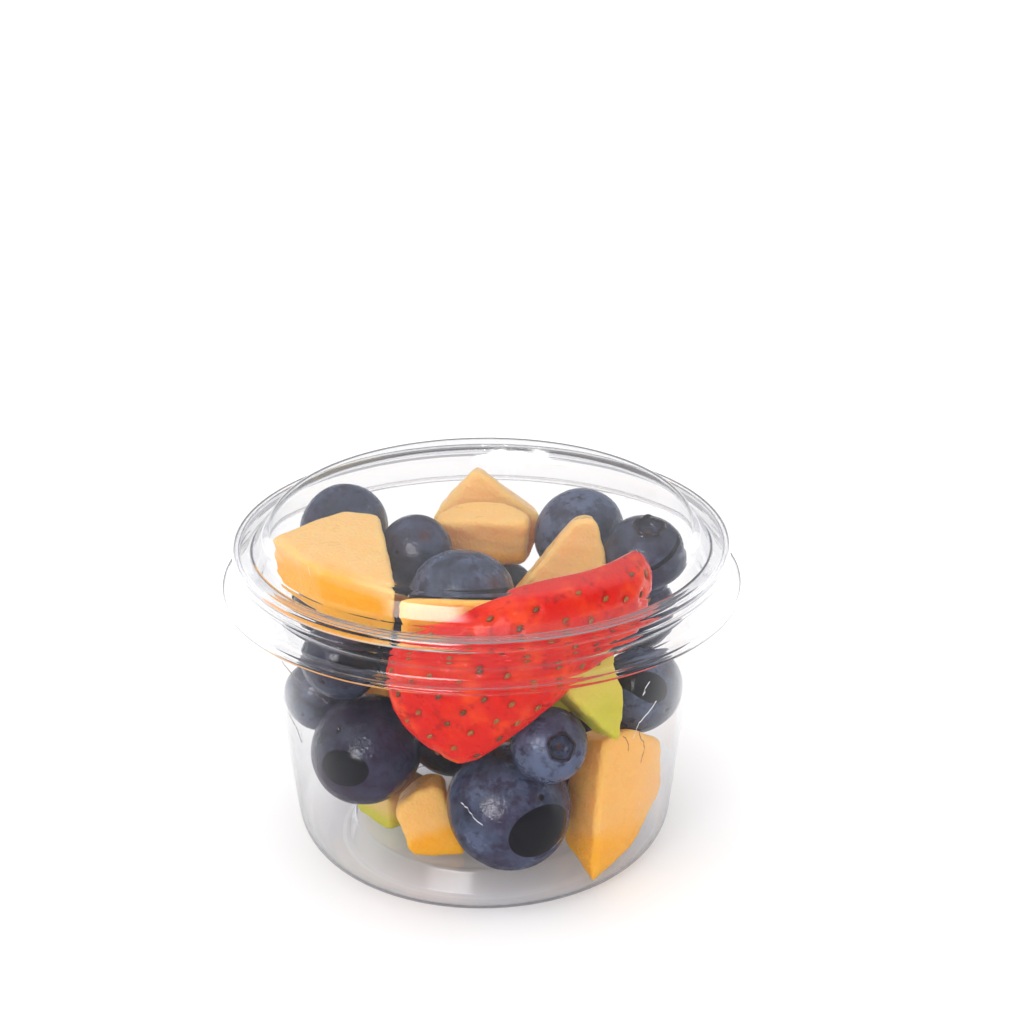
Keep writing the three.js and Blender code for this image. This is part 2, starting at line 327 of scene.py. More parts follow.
def pot(material):
    half = SHEET / 2
    bend = FOOT_BEND - half
    bend_centre = WALL_FOOT_RADIUS + WALL_FLARE * FOOT_BEND - half - bend * math.hypot(1, WALL_FLARE)
    step_radius = WALL_FOOT_RADIUS + WALL_FLARE * STEP_HEIGHT - half
    lean = math.degrees(math.atan(WALL_FLARE))
    turned_sheet("pot", [
        (0, PANEL_HEIGHT, 0),
        (PANEL_RADIUS - 0.3, PANEL_HEIGHT, 0.7),
        (FOOT_INNER_RADIUS - 0.1, half, 0.6),
        (bend_centre - 0.1, half, 0),
        *arc(bend_centre, FOOT_BEND, bend, -90, -lean, 14),
        (step_radius, STEP_HEIGHT, 0.5),
        (step_radius + STEP_OUT, STEP_HEIGHT + 1.2, 0.5),
        (step_radius + STEP_OUT + 0.4, RIM_HEIGHT, 0.8),
        (RIM_RADIUS, RIM_HEIGHT, 0.5),
        (RIM_RADIUS, RIM_HEIGHT - 1.7, 0),
    ], material)


def lid(material):
    turned_sheet("lid", [
        (0, LID_TOP_HEIGHT, 0),
        *arc(LID_TOP_RADIUS, LID_TOP_HEIGHT - LID_SHOULDER_BEND, LID_SHOULDER_BEND, 90, 15, 8),
        (LID_WALL_FOOT_RADIUS + 0.1, LEDGE_HEIGHT, 0.9),
        *arc(BEAD_RADIUS - BEAD_BEND, LEDGE_HEIGHT - BEAD_BEND, BEAD_BEND, 90, 0, 6),
        (BEAD_RADIUS, SKIRT_HEIGHT + 0.5, 0.4),
        (BEAD_RADIUS - 0.4, SKIRT_HEIGHT - 0.3, 0.4),
        (BEAD_RADIUS - 0.05, FLANGE_HEIGHT, 1.1),
        (FLANGE_RADIUS, FLANGE_HEIGHT, 0.6),
        (FLANGE_RADIUS, LIP_HEIGHT, 0),
    ], material)


# Creases of juice dried on the wall's inside, the pale ones painted white as glints: degrees round from the
# front and height, from end to end.
GLINT_PAINTED_CREASES = [
    [(-6.4, 27.3), (-4.1, 25.4), (-3.0, 23.5), (-0.4, 22.0)],
    [(47.9, 45.8), (46.6, 45.1), (45.6, 43.5), (46.6, 44.0)],
    [(52.4, 40.4), (48.6, 38.6), (45.5, 37.7), (44.0, 34.6)],
    [(-64.2, 32.4), (-60.7, 32.4), (-61.0, 29.3)],
]
DARK_CREASES = [
    [(-66.2, 45.6), (-59.9, 45.1), (-53.9, 44.2), (-47.9, 43.8), (-43.7, 43.0)],
    [(-69.3, 33.4), (-64.2, 32.4), (-61.0, 29.3)],
    [(40.0, 36.4), (41.9, 34.4), (42.9, 32.3)],
    [(46.2, 35.5), (49.6, 31.1), (48.5, 27.6)],
]
CREASE_WIDTH = 0.16
CREASE_THICKNESS = 0.1
CREASE_INSET = 0.12  # from the wall's inside
CREASE_STEPS = 7


def wall_creases(name, lines, material):
    """Thin wavering strips that lie on the wall's inside."""
    shape = bmesh.new()
    for line in lines:
        strip = []
        for start, end in zip(line, line[1:]):
            for step in range(CREASE_STEPS):
                share = step / CREASE_STEPS
                turn, height = (a + (b - a) * share for a, b in zip(start, end))
                waver = noise.noise(Vector((turn * 0.9, height * 0.9, 2)))
                height += 0.5 * waver
                radius = (WALL_FOOT_RADIUS + WALL_FLARE * height - SHEET - CREASE_INSET) * MM
                angle = math.radians(turn + 0.6 * waver)
                place = (radius * math.sin(angle), -radius * math.cos(angle), height * MM)
                strip.append(shape.verts.new(place))
        edges = [shape.edges.new(pair) for pair in zip(strip, strip[1:])]
        grown = bmesh.ops.extrude_edge_only(shape, edges=edges)["geom"]
        raised = [part for part in grown if isinstance(part, bmesh.types.BMVert)]
        bmesh.ops.translate(shape, verts=raised, vec=(0, 0, CREASE_WIDTH * MM))
    bmesh.ops.recalc_face_normals(shape, faces=shape.faces)
    mesh = worked(mesh_from(shape, name), SOLIDIFY={"thickness": CREASE_THICKNESS * MM, "offset": 0})
    finished(name, mesh, [material], "clear_plastic")


def crease_coat(name, colour, glow):
    """Dried juice, a little uneven: dark, or pale with a white that is a painted glint."""
    made, tree, surface = new_material(name)
    place = node(tree, "TexCoord").outputs["Object"]
    grain = node(tree, "TexNoise", {"Vector": place, "Scale": 900.0, "Detail": 2.0}).outputs["Fac"]
    coat = node(tree, "BsdfPrincipled", {
        "Base Color": mixed(tree, grain, colour, glow), "Roughness": scaled(tree, grain, 0.2, 0.15),
    })
    tree.links.new(coat.outputs[0], surface)
    return made


# Blueberries, drawn at radius 1 with the crown at +Z, as the solids have them.
BERRY_STEPS = 72
BERRY_WELD = 1e-5
BERRY_FLATNESS = 0.9
CROWN_RADIUS = 0.34
CROWN_DEPTH = 0.16
CROWN_LIP = 0.07
CROWN_LOBES = 5
FAR_FROM_WET_AND_SHADE = 9.0

# Where a berry lies wet against the pot's wall: degrees round from the front, height, and half sizes in mm.
WALL_TOUCHES = {
    "front_left": (-46.0, 27.6, 4.6, 3.5),
    "front_low": (16.6, 18.3, 6.4, 5.1),
    "side_left": (-58.0, 35.0, 2.2, 2.0),
    "side_left_high": (-46.0, 49.0, 2.4, 2.6),
    "side_right": (66.0, 38.0, 2.4, 3.0),
}
# A black line of painted shade across a berry, where it meets its neighbour: its height on the cup's axis,
# and what it gains in mm for each mm to the right and to the back. Then the height of the band, None where
# all below it is painted shade.
PAINTED_SHADE_LINES = {"top_front": (54.4, 0.0, -0.35, None), "top_right": (52.6, 0.33, 0.30, 0.5)}
# Brown spots on a berry: place and radius in mm.
BROWN_SPOTS = {"top_middle": ((-10.7, -3.6, 65.2), 1.7), "top_front": ((2.6, -20.0, 62.2), 2.4)}
# How much grey bloom a berry wears, 0.75 where none is given.
BLOOM = {
    "front_left": 0.24, "top_middle": 0.5, "front_low": 0.72, "front_small": 0.95, "top_right": 0.5,
    "side_left_high": 0.25, "front_middle": 0.04, "side_left": 0.6, "low_middle": 0.1, "middle_left": 0.2,
    "back": 0.2, "middle": 0.1, "top_left": 0.85, "top_back": 0.95, "left": 0.3, "right": 0.5,
}


def berry_place(solid):
    """A berry's middle, axis and radius. The crown's floor is the solid's point nearest to the middle."""
    points = [vertex.co for vertex in solid.data.vertices]
    mean = sum(points, Vector()) / len(points)
    crown = min(points, key=lambda point: (point - mean).length)
    stem = max(points, key=lambda point: (point - crown).length)
    shoulder = BERRY_FLATNESS * math.sqrt(1 - CROWN_RADIUS**2)
    radius = (crown - stem).length / (shoulder - CROWN_DEPTH + BERRY_FLATNESS)
    axis = (crown - stem).normalized()
    return stem + axis * radius * BERRY_FLATNESS, axis, radius


def berry_shape(seed):
    """A spun berry of radius 1 with a ragged crown, uneven all over."""
    shoulder = BERRY_FLATNESS * math.sqrt(1 - CROWN_RADIUS**2)
    line = [
        (0, -CROWN_DEPTH), (0.06, -CROWN_DEPTH + 0.015), (0.12, -CROWN_DEPTH), (0.18, -CROWN_DEPTH + 0.01),
        (0.23, -CROWN_DEPTH + 0.04), (0.265, -CROWN_DEPTH + 0.09), (0.29, -0.01), (0.31, 0.035),
        (0.325, 0.06), (0.34, CROWN_LIP), (0.355, 0.06), (0.37, 0.035), (0.39, 0.005), (0.42, -0.02),
    ]
    points = [(radius, shoulder + height) for radius, height in line]
    points += [(math.sin(angle), BERRY_FLATNESS * math.cos(angle))
               for angle in (math.radians(degrees) for degrees in range(28, 176, 4))]
    points += [(0.05, -BERRY_FLATNESS + 0.01), (0.03, -BERRY_FLATNESS + 0.035), (0, -BERRY_FLATNESS + 0.04)]
    shape = bmesh.new()
    spun_line(shape, points)
    spin(shape, BERRY_STEPS, BERRY_WELD)
    from_crown = []
    shift = Vector((seed * 3.1, seed * 1.7, 0))
    for vertex in shape.verts:
        x, y, z = vertex.co
        out = math.hypot(x, y)
        from_crown.append(out if z > 0 else 2 - out)
        near_rim = math.exp(-(((out - CROWN_RADIUS) / 0.05) ** 2)) if z > 0 else 0
        turn = math.atan2(y, x)
        ragged = noise.noise(Vector((math.cos(turn), math.sin(turn), seed)) * 2.5)
        lobe = math.cos(CROWN_LOBES * turn) + 0.7 * ragged
        vertex.co.z += 0.022 * near_rim * lobe
        vertex.co.xy *= 1 + 0.09 * near_rim * lobe
        uneven = noise.noise(vertex.co * 0.9 + shift) * 0.035 + noise.noise(vertex.co * 2.6 + shift) * 0.01
        vertex.co *= 1 - 0.012 + uneven * (1 - 0.8 * near_rim)
    return shape, from_crown


def distance_from_wet_and_shade(point, name):
    """How far a point is from where its berry lies wet, and from a berry's line of painted shade, in half
    sizes.
    """
    if name in WALL_TOUCHES:
        turn, height, half_width, half_height = WALL_TOUCHES[name]
        radius = math.hypot(point.x, point.y) / MM
        along = (math.atan2(point.x, -point.y) - math.radians(turn)) * radius
        if abs(along) > 3 * half_width:
            return FAR_FROM_WET_AND_SHADE
        return math.hypot(along / half_width, (point.z / MM - height) / half_height)
    if name in PAINTED_SHADE_LINES:
        height, to_right, to_back, band = PAINTED_SHADE_LINES[name]
        over = point.z / MM - height - to_right * point.x / MM - to_back * point.y / MM
        return 1 + over / 4 if band is None else 1 + (abs(over) - band) / 4
    return FAR_FROM_WET_AND_SHADE


def brownness(point, name):
    """1 in the middle of a berry's brown spot, 0 away from it."""
    if name not in BROWN_SPOTS:
        return 0.0
    middle, radius = BROWN_SPOTS[name]
    return max(0.0, 1 - ((point / MM - Vector(middle)).length / radius) ** 2)


def blueberry(solid_name, seed, material):
    solid = NODES[solid_name]
    middle, axis, radius = berry_place(solid)
    shape, from_crown = berry_shape(seed)
    turn = axis.to_track_quat("Z", "Y").to_matrix().to_4x4()
    place = Matrix.Translation(middle) @ turn @ Matrix.Scale(radius, 4)
    bmesh.ops.transform(shape, matrix=place, verts=shape.verts)
    mesh = mesh_from(shape, solid_name)
    name = solid_name.removeprefix("blueberry_")
    give(mesh, "from_crown", from_crown)
    give(mesh, "from_wet_and_shade", [distance_from_wet_and_shade(vertex.co, name) for vertex in mesh.vertices])
    give(mesh, "brown", [brownness(vertex.co, name) for vertex in mesh.vertices])
    give(mesh, "bloom", [BLOOM.get(name, 0.75)] * len(mesh.vertices))
    finished("berry_" + name, mesh, [material], "blueberry_skin", solid_name)


NAVY = (0.012, 0.013, 0.024, 1)
PLUM = (0.024, 0.010, 0.028, 1)
FULL_BLOOM = (0.108, 0.138, 0.225, 1)
RUBBED_BLOOM = (0.052, 0.058, 0.102, 1)
SPOT_BROWN = (0.085, 0.032, 0.024, 1)
CROWN_BROWN = (0.016, 0.009, 0.010, 1)
PIT_GREY = (0.022, 0.022, 0.036, 1)
DOT_BROWN = (0.10, 0.035, 0.02, 1)
SCAR_BROWN = (0.012, 0.008, 0.010, 1)
WET_AND_SHADE_BLACK = (0.004, 0.0045, 0.007, 1)


def blueberry_skin():
    """Navy skin under a rubbed grey-blue bloom, brown at the crown, near black where it is wet and along
    lines of painted shade.
    """
    made, tree, surface = new_material("blueberry_skin")
    place = node(tree, "TexCoord").outputs["Object"]
    crown = node(tree, "Attribute", attribute_name="from_crown").outputs["Fac"]
    from_wet_and_shade = node(tree, "Attribute", attribute_name="from_wet_and_shade").outputs["Fac"]
    worn = node(tree, "Attribute", attribute_name="bloom").outputs["Fac"]
    spot = node(tree, "Attribute", attribute_name="brown").outputs["Fac"]
    cover = grouped(tree, PATCHES, Place=place, Scale=120.0, Level=0.50, Softness=0.13)["Mask"]
    rubbed = grouped(tree, PATCHES, Place=place, Scale=380.0, Level=0.57, Softness=0.10)["Mask"]
    plum = grouped(tree, PATCHES, Place=place, Scale=70.0, Level=0.53, Softness=0.09)["Mask"]
    # This mask covers both the wet patches against the wall and the painted shade lines where berries meet.
    wet = grouped(tree, STEP, Value=from_wet_and_shade, From=1.02, To=0.98)["Mask"]
    beyond_wet_and_shade = node(tree, "Math", {0: 1.0, 1: wet}, operation="SUBTRACT").outputs[0]
    skin = mixed(tree, plum, NAVY, PLUM)
    bloom = mixed(tree, rubbed, FULL_BLOOM, RUBBED_BLOOM)
    kept = times(tree, cover, scaled(tree, rubbed, -0.5, 1.0))
    amount = times(tree, worn, scaled(tree, kept, 0.62, 0.32))
    colour = mixed(tree, times(tree, amount, beyond_wet_and_shade), skin, bloom)
    colour = mixed(tree, scaled(tree, spot, 0.75), colour, SPOT_BROWN)
    rim = times(
        tree, grouped(tree, STEP, Value=crown, From=0.27, To=0.31)["Mask"],
        grouped(tree, STEP, Value=crown, From=0.42, To=0.36)["Mask"],
    )
    colour = mixed(tree, scaled(tree, rim, 0.9), colour, CROWN_BROWN)
    pit = grouped(tree, STEP, Value=crown, From=0.30, To=0.24)["Mask"]
    colour = mixed(tree, scaled(tree, pit, 0.5), colour, PIT_GREY)
    dot = grouped(tree, STEP, Value=crown, From=0.09, To=0.05)["Mask"]
    scar = grouped(tree, STEP, Value=crown, From=1.93, To=1.96)["Mask"]
    colour = mixed(tree, scaled(tree, dot, 0.8), colour, DOT_BROWN)
    colour = mixed(tree, scaled(tree, scar, 0.9), colour, SCAR_BROWN)
    # Near black: wet skin against the wall, and painted shade along the lines where berries meet.
    colour = mixed(tree, scaled(tree, wet, 0.96), colour, WET_AND_SHADE_BLACK)
    ripple = node(tree, "TexNoise", {"Vector": place, "Scale": 330.0, "Detail": 4.0, "Roughness": 0.6})
    skin_bump = node(tree, "Bump", {
        "Height": ripple.outputs["Fac"], "Strength": scaled(tree, beyond_wet_and_shade, 0.45), "Distance": 0.0009,
    })
    rough = scaled(tree, times(tree, amount, beyond_wet_and_shade), 0.22, 0.14)
    berry = node(tree, "BsdfPrincipled", {
        "Base Color": colour, "Roughness": rough, "IOR": 1.40, "Normal": skin_bump.outputs["Normal"],
    })
    tree.links.new(berry.outputs[0], surface)
    return made


# Melon. A chunk's rind side is a direction; the flesh is deeper in colour towards it.
MELON_VOXEL = 0.42 * MM
DOWNWARDS = (0, 0, -1)
CUT_WAY = Vector((0.3, 0.2, 0.93))  # across the knife's marks
MELON_INSET = 0.08  # so that no lump stands out of the solid, in mm
RIND_SIDES = {
    "cantaloupe_top_left": (-0.45, -0.5, -0.74),
    "cantaloupe_top_front": (-0.1, -1, -0.3),
    "cantaloupe_low_right": (0.2, -0.35, -0.9),
    "cantaloupe_top_back": (0.3, -0.2, -0.93),
    "cantaloupe_low_left": (0.3, -0.6, -0.75),
    "honeydew_front": (0.2, -0.1, -1),
}
# From pale to ripe, 0.7 where none is given.
TONES = {
    "cantaloupe_top_left": 0.0, "cantaloupe_top_back": 0.0, "cantaloupe_top_right": 0.15,
    "cantaloupe_top_middle": 0.35, "cantaloupe_low_right": 0.9, "cantaloupe_low_left": 0.6,
    "cantaloupe_top_front": 1.0,
    "honeydew_low_left": 0.0, "honeydew_front": 1.0,
}


# Pulpy chunks, by how often their edges are softened. Others are softened twice.
SOFT = {"cantaloupe_top_middle": 16}


def melon_chunk(solid_name, seed, material, slot):
    """The solid's own form, with softened edges, lumps and a value that grows towards the rind."""
    shape = softened(solid_name, MELON_VOXEL, SOFT.get(solid_name, 2))
    shift = Vector((seed * 0.37, seed * 0.11, 0))
    moves = []
    for vertex in shape.verts:
        lumps = noise.noise(vertex.co * 160 + shift) * 0.28 + noise.noise(vertex.co * 420 + shift) * 0.10
        along_cut = vertex.co.dot(CUT_WAY) / MM * 2.1
        knife = 0.05 * math.sin(along_cut + 4 * noise.noise(vertex.co * 90 + shift))
        moves.append(vertex.normal * (lumps + knife - MELON_INSET) * MM)
    mesh = moved(shape, moves)
    side = Vector(RIND_SIDES.get(solid_name, DOWNWARDS)).normalized()
    reach = [vertex.co.dot(side) for vertex in mesh.vertices]
    low, high = min(reach), max(reach)
    give(mesh, "rind_side", [(value - low) / (high - low) for value in reach])
    give(mesh, "tone", [TONES.get(solid_name, 0.7)] * len(reach))
    finished("chunk_" + solid_name, mesh, [material], slot, solid_name)


PALE_MARK = (1.0, 0.86, 0.66, 1)


def melon_flesh(name, pale, ripe, deep, cloudy, begins, ends):
    """Wet translucent flesh: pale to ripe, deep from one share of the way to the rind to another."""
    made, tree, surface = new_material(name)
    place = node(tree, "TexCoord").outputs["Object"]
    side = node(tree, "Attribute", attribute_name="rind_side").outputs["Fac"]
    drift = node(tree, "TexNoise", {"Vector": place, "Scale": 110.0, "Detail": 3.0})
    waver = scaled(tree, drift.outputs["Fac"], 0.22, -0.11)
    wavering = node(tree, "Math", {0: side, 1: waver}, operation="ADD").outputs[0]
    depth = grouped(tree, STEP, Value=wavering, From=begins, To=ends)["Mask"]
    tone = node(tree, "Attribute", attribute_name="tone").outputs["Fac"]
    colour = mixed(tree, depth, mixed(tree, tone, pale, ripe), deep)
    clouds = grouped(tree, PATCHES, Place=place, Scale=170.0, Level=0.52, Softness=0.16)["Mask"]
    colour = mixed(tree, scaled(tree, clouds, 0.25), colour, cloudy)
    stretched = node(tree, "Mapping", {"Vector": place, "Scale": (1.0, 1.0, 0.18)}).outputs[0]
    marks = grouped(tree, PATCHES, Place=stretched, Scale=900.0, Level=0.735, Softness=0.03)["Mask"]
    colour = mixed(tree, scaled(tree, marks, 0.5), colour, PALE_MARK)
    cells = node(tree, "TexVoronoi", {"Vector": place, "Scale": 1400.0}, feature="F1")
    fibres = node(tree, "TexNoise", {"Vector": stretched, "Scale": 1100.0, "Detail": 3.0})
    relief = node(tree, "Math", {0: cells.outputs["Distance"], 1: fibres.outputs["Fac"]}, operation="ADD")
    bump = node(tree, "Bump", {"Height": relief.outputs[0], "Strength": 0.25, "Distance": 0.0006})
    wet = grouped(tree, PATCHES, Place=place, Scale=260.0, Level=0.5, Softness=0.15)["Mask"]
    flesh = node(tree, "BsdfPrincipled", {
        "Base Color": colour, "Roughness": scaled(tree, wet, -0.24, 0.50), "IOR": 1.36,
        "Specular IOR Level": 0.3,
        "Subsurface Weight": 0.6, "Subsurface Radius": (1.0, 0.40, 0.15), "Subsurface Scale": 0.005,
        "Normal": bump.outputs["Normal"],
    })
    tree.links.new(flesh.outputs[0], surface)
    return made


# Half a strawberry, with its seeds in dimples.
STRAWBERRY_VOXEL = 0.5 * MM
STRAWBERRY_BACK_RADIUS = 31.8
SEED_ROW = 4.6
SEED_GAP = 5.0
SEED_LEAN = 42.0  # the fruit's length against the table, in degrees
SEED_MIDDLE = (9, 51)  # way round the wall and height
SEEDLESS_EDGE = 1.2  # no seeds this near to the cut face
DIMPLE_RADIUS = 1.9 * MM
DIMPLE_DEPTH = 0.5 * MM
SEED_SIZE = (0.80 * MM, 0.48 * MM, 0.42 * MM)
SEED_SUNK = 0.36 * MM
WALL_MIDDLE = 38.0  # the wall's radius half way up, in mm


def seed_places(tree):
    """Staggered rows along the fruit, cast from outside onto its skin. Each is a place with its normal."""
    draw = random.Random(11)
    found = []
    lean = math.radians(SEED_LEAN)
    for row in range(-9, 10):
        for step in range(-9, 10):
            along = (step + 0.5 * (row % 2)) * SEED_GAP + draw.uniform(-0.7, 0.7)
            across = row * SEED_ROW + draw.uniform(-0.6, 0.6)
            way = SEED_MIDDLE[0] + along * math.cos(lean) - across * math.sin(lean)
            height = SEED_MIDDLE[1] + along * math.sin(lean) + across * math.cos(lean)
            turn = way / WALL_MIDDLE
            outward = Vector((math.sin(turn), -math.cos(turn), 0))
            start = outward * 0.06 + Vector((0, 0, height * MM))
            hit, normal, *_ = tree.ray_cast(start, -outward, 0.035)
            if hit is None or normal.dot(outward) <= 0.1:
                continue
            if math.hypot(hit.x, hit.y) > (STRAWBERRY_BACK_RADIUS + SEEDLESS_EDGE) * MM:
                found.append((hit, normal, draw.random()))
    return found


def strawberry(skin, seed_coat):
    """The half's own form, with a dimple round each seed."""
    shape = softened("strawberry_half", STRAWBERRY_VOXEL, 4)
    places = seed_places(BVHTree.FromBMesh(shape))
    finder = KDTree(len(places))
    for index, (hit, _, _) in enumerate(places):
        finder.insert(hit, index)
    finder.balance()
    moves = []
    for vertex in shape.verts:
        move = vertex.normal * noise.noise(vertex.co * 140) * 0.3 * MM
        _, index, distance = finder.find(vertex.co)
        if distance < DIMPLE_RADIUS:
            fall = (1 - (distance / DIMPLE_RADIUS) ** 2) ** 2
            move -= places[index][1] * DIMPLE_DEPTH * fall
        moves.append(move)
    finished("strawberry_flesh", moved(shape, moves), [skin], "strawberry_flesh", "strawberry_half")
    strawberry_seeds(places, seed_coat)


def strawberry_seeds(places, seed_coat):
    """Small pointed seeds, half sunk in their dimples."""
    seeds = bmesh.new()
    shades = []
    point_down = Vector((-math.cos(math.radians(SEED_LEAN)), 0, -math.sin(math.radians(SEED_LEAN))))
    for hit, normal, shade in places:
        side = point_down.cross(normal).normalized()
        long_way = normal.cross(side)
        turn = Matrix((long_way, side, normal)).transposed().to_4x4()
        place = Matrix.Translation(hit - normal * SEED_SUNK) @ turn @ Matrix.Diagonal((*SEED_SIZE, 1))
        made = bmesh.ops.create_icosphere(seeds, subdivisions=2, radius=1, matrix=place)
        shades += [shade] * len(made["verts"])
        for vertex in made["verts"]:
            pointed = (vertex.co - hit).dot(long_way) / SEED_SIZE[0]
            if pointed > 0:
                vertex.co -= side * (vertex.co - hit).dot(side) * 0.5 * pointed
    mesh = mesh_from(seeds, "seeds")
    give(mesh, "shade", shades)
    finished("strawberry_seeds", mesh, [seed_coat], "strawberry_flesh")


BERRY_RED = (0.66, 0.011, 0.005, 1)
ORANGE_RED = (0.84, 0.075, 0.014, 1)
DARK_RED = (0.34, 0.006, 0.006, 1)
CUT_PINK = (0.80, 0.20, 0.12, 1)
CUT_PALE = (0.88, 0.42, 0.30, 1)
SEED_GOLD = (0.28, 0.095, 0.018, 1)
SEED_BROWN = (0.10, 0.020, 0.012, 1)
SEED_LIGHT = (0.42, 0.21, 0.05, 1)


def strawberry_skin():
    """Glossy mottled red skin, with orange and dark patches, and pale flesh on the cut face."""
    made, tree, surface = new_material("strawberry_skin")
    place = node(tree, "TexCoord").outputs["Object"]
    parts = node(tree, "SeparateXYZ", {0: place}).outputs
    flat = node(tree, "CombineXYZ", {"X": parts["X"], "Y": parts["Y"]}).outputs[0]
    radius = node(tree, "VectorMath", {0: flat}, operation="LENGTH").outputs["Value"]
    skin_edge = (STRAWBERRY_BACK_RADIUS + 0.9) * MM
    cut_edge = (STRAWBERRY_BACK_RADIUS + 0.4) * MM
    cut = grouped(tree, STEP, Value=radius, From=skin_edge, To=cut_edge)["Mask"]
    orange = grouped(tree, PATCHES, Place=place, Scale=150.0, Level=0.56, Softness=0.12)["Mask"]
    dark = grouped(tree, PATCHES, Place=place, Scale=430.0, Level=0.62, Softness=0.08)["Mask"]
    colour = mixed(tree, scaled(tree, orange, 0.75), BERRY_RED, ORANGE_RED)
    colour = mixed(tree, scaled(tree, dark, 0.65), colour, DARK_RED)
    rays = node(tree, "TexNoise", {"Vector": place, "Scale": 500.0, "Detail": 2.0}).outputs["Fac"]
    flesh = mixed(tree, rays, CUT_PINK, CUT_PALE)
    colour = mixed(tree, cut, colour, flesh)
    fine = node(tree, "TexNoise", {"Vector": place, "Scale": 900.0, "Detail": 3.0})
    bump = node(tree, "Bump", {"Height": fine.outputs["Fac"], "Strength": 0.2, "Distance": 0.0006})
    wet = grouped(tree, PATCHES, Place=place, Scale=300.0, Level=0.5, Softness=0.15)["Mask"]
    skin = node(tree, "BsdfPrincipled", {
        "Base Color": colour, "Roughness": scaled(tree, wet, -0.20, 0.38), "IOR": 1.38,
        "Specular IOR Level": 0.3,
        "Subsurface Weight": 0.25, "Subsurface Radius": (1.0, 0.25, 0.12), "Subsurface Scale": 0.002,
        "Normal": bump.outputs["Normal"],
    })
    tree.links.new(skin.outputs[0], surface)
    return made


def strawberry_seed_coat():
    """Golden seeds, some of them brown."""
    made, tree, surface = new_material("strawberry_seed_coat")
    place = node(tree, "TexCoord").outputs["Object"]
    shade = node(tree, "Attribute", attribute_name="shade").outputs["Fac"]
    brown = grouped(tree, STEP, Value=shade, From=0.35, To=0.75)["Mask"]
    colour = mixed(tree, brown, SEED_GOLD, SEED_BROWN)
    grain = node(tree, "TexNoise", {"Vector": place, "Scale": 2500.0, "Detail": 2.0})
    colour = mixed(tree, scaled(tree, grain.outputs["Fac"], 0.4), colour, SEED_LIGHT)
    bump = node(tree, "Bump", {"Height": grain.outputs["Fac"], "Strength": 0.3, "Distance": 0.0003})
    coat = node(tree, "BsdfPrincipled", {
        "Base Color": colour, "Roughness": scaled(tree, grain.outputs["Fac"], 0.2, 0.3),
        "Normal": bump.outputs["Normal"],
    })
    tree.links.new(coat.outputs[0], surface)
    return made


# The set.
CAMERA_PLACE = (0.0, -0.428065, 0.248848)
CAMERA_TURN = (67.162, 0.361, -0.940)  # degrees about X, Y and Z
LENS = 85.54
SENSOR = 36.0
FLOOR_SIZE = 4.0
TABLE_WHITES = ((0.92, 0.92, 0.92, 1), (0.93, 0.93, 0.93, 1))
TABLE_MIRRORED = (0.20, 0.20, 0.21, 1)
SUN_WAY = (-70, 55)  # azimuth and elevation
SUN_WIDTH = 50
SUN_ENERGY = 0.4
# The sky's colours as lit surfaces see it, then as the plastic and the wet fruit mirror it.
SKY_SIDE = (0.92, 0.92, 0.94, 1)
SKY_NEAR = (1.15, 1.15, 1.17, 1)
SKY_FAR = (0.60, 0.60, 0.62, 1)
SKY_TOP = (1.36, 1.36, 1.36, 1)
MIRRORED_NEAR = (0.08, 0.08, 0.09, 1)
MIRRORED_TOP = (0.40, 0.41, 0.43, 1)
MIRRORED_SIDES = (0.72, 0.72, 0.73, 1)
MIRRORED_FAR = (0.34, 0.34, 0.35, 1)
LAMP_GLOW = (14.0, 14.0, 14.0, 1)
# Azimuth, elevation, half width and half height in degrees, and softness of the edge.
WINDOW = (-27, 26, 14, 11, 0.4)
FAR_LAMP = (179.2, 21.5, 0.75, 0.14, 0.3)


def camera():
    """The viewer's place, as worked out from the cup's rings."""
    data = bpy.data.cameras.new("camera")
    data.lens = LENS
    data.sensor_width = SENSOR
    data.clip_start, data.clip_end = 0.01, 50
    seat = bpy.data.objects.new("camera", data)
    seat.location = CAMERA_PLACE
    seat.rotation_euler = [math.radians(angle) for angle in CAMERA_TURN]
    bpy.context.scene.collection.objects.link(seat)
    bpy.context.scene.camera = seat


def white_floor():
    """A wide white table, which looks grey in the plastic's reflections on the viewer's side."""
    shape = bmesh.new()
    bmesh.ops.create_grid(shape, x_segments=4, y_segments=4, size=FLOOR_SIZE)
    made, tree, surface = new_material("white_table")
    place = node(tree, "TexCoord").outputs["Object"]
    haze = node(tree, "TexNoise", {"Vector": place, "Scale": 8.0, "Detail": 2.0})
    colour = mixed(tree, haze.outputs["Fac"], *TABLE_WHITES)
    depth = node(tree, "SeparateXYZ", {0: place}).outputs["Y"]
    front = grouped(tree, STEP, Value=depth, From=0.06, To=-0.06)["Mask"]
    colour = mixed(tree, times(tree, mirrored(tree), front), colour, TABLE_MIRRORED)
    table = node(tree, "BsdfPrincipled", {"Base Color": colour, "Roughness": 0.9})
    tree.links.new(table.outputs[0], surface)
    mesh = mesh_from(shape, "white_floor")
    mesh.materials.append(made)
    floor = bpy.data.objects.new("white_floor", mesh)
    bpy.context.scene.collection.objects.link(floor)


def toward(azimuth, elevation):
    """A way out from the cup, in degrees. Azimuth is from the viewer's side, positive to the right."""
    turn, rise = math.radians(azimuth), math.radians(elevation)
    return Vector((math.sin(turn) * math.cos(rise), -math.cos(turn) * math.cos(rise), math.sin(rise)))


